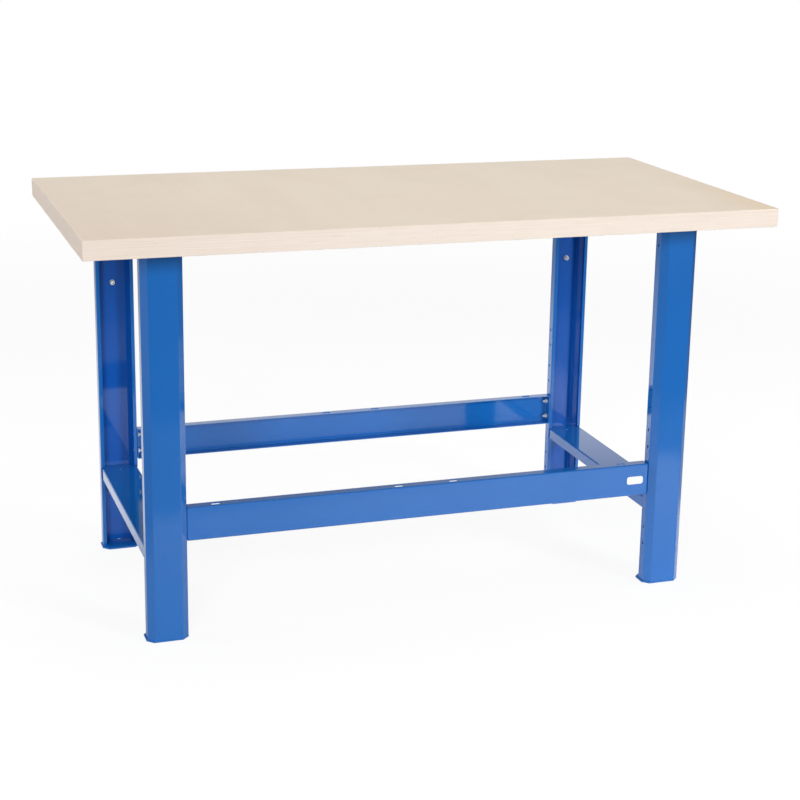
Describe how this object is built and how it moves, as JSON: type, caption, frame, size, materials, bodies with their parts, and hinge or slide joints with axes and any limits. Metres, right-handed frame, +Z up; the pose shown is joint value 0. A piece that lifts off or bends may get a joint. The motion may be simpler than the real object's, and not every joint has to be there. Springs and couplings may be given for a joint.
{
  "type": "workbench",
  "caption": "Workbench with a thick multiplex wood worktop on folded sheet-steel legs, tied low down by side ties and long channel rails; an open frame for standing or seated work.",
  "frame": {"origin": "on the floor, under the middle of the worktop", "axes": "+X to the right along the length of the worktop, +Y from the front to the rear, +Z up"},
  "size_m": [1.5, 0.75, 0.89],
  "materials": {
    "multiplex": "pale sanded multiplex with a thin clear coat",
    "blue_steel": "glossy blue stove enamel",
    "zinc_plate": "bright zinc plating",
    "label_white": "plain white, blank"
  },
  "bodies": {
    "root": {"worktop": "multiplex", "leg_front_left": "blue_steel", "foot_plate_front_left": "blue_steel", "leg_front_right": "blue_steel", "foot_plate_front_right": "blue_steel", "leg_rear_left": "blue_steel", "foot_plate_rear_left": "blue_steel", "leg_rear_right": "blue_steel", "foot_plate_rear_right": "blue_steel", "lower_tie_left": "blue_steel", "top_bearer_left": "blue_steel", "lower_tie_right": "blue_steel", "top_bearer_right": "blue_steel", "front_rail": "blue_steel", "rear_rail": "blue_steel", "rail_bolt_front_left_lower": "zinc_plate", "rail_bolt_front_left_upper": "zinc_plate", "rail_nut_front_left_lower": "zinc_plate", "rail_nut_front_left_upper": "zinc_plate", "rail_bolt_front_right_lower": "zinc_plate", "rail_bolt_front_right_upper": "zinc_plate", "rail_nut_front_right_lower": "zinc_plate", "rail_nut_front_right_upper": "zinc_plate", "rail_bolt_rear_left_lower": "zinc_plate", "rail_bolt_rear_left_upper": "zinc_plate", "rail_nut_rear_left_lower": "zinc_plate", "rail_nut_rear_left_upper": "zinc_plate", "rail_bolt_rear_right_lower": "zinc_plate", "rail_bolt_rear_right_upper": "zinc_plate", "rail_nut_rear_right_lower": "zinc_plate", "rail_nut_rear_right_upper": "zinc_plate", "upright_insert_left": "zinc_plate", "worktop_screw_left_1": "zinc_plate", "worktop_screw_left_2": "zinc_plate", "worktop_screw_left_3": "zinc_plate", "worktop_screw_left_4": "zinc_plate", "upright_insert_right": "zinc_plate", "worktop_screw_right_1": "zinc_plate", "worktop_screw_right_2": "zinc_plate", "worktop_screw_right_3": "zinc_plate", "worktop_screw_right_4": "zinc_plate", "label_plate": "label_white"}
  },
  "joints": []
}
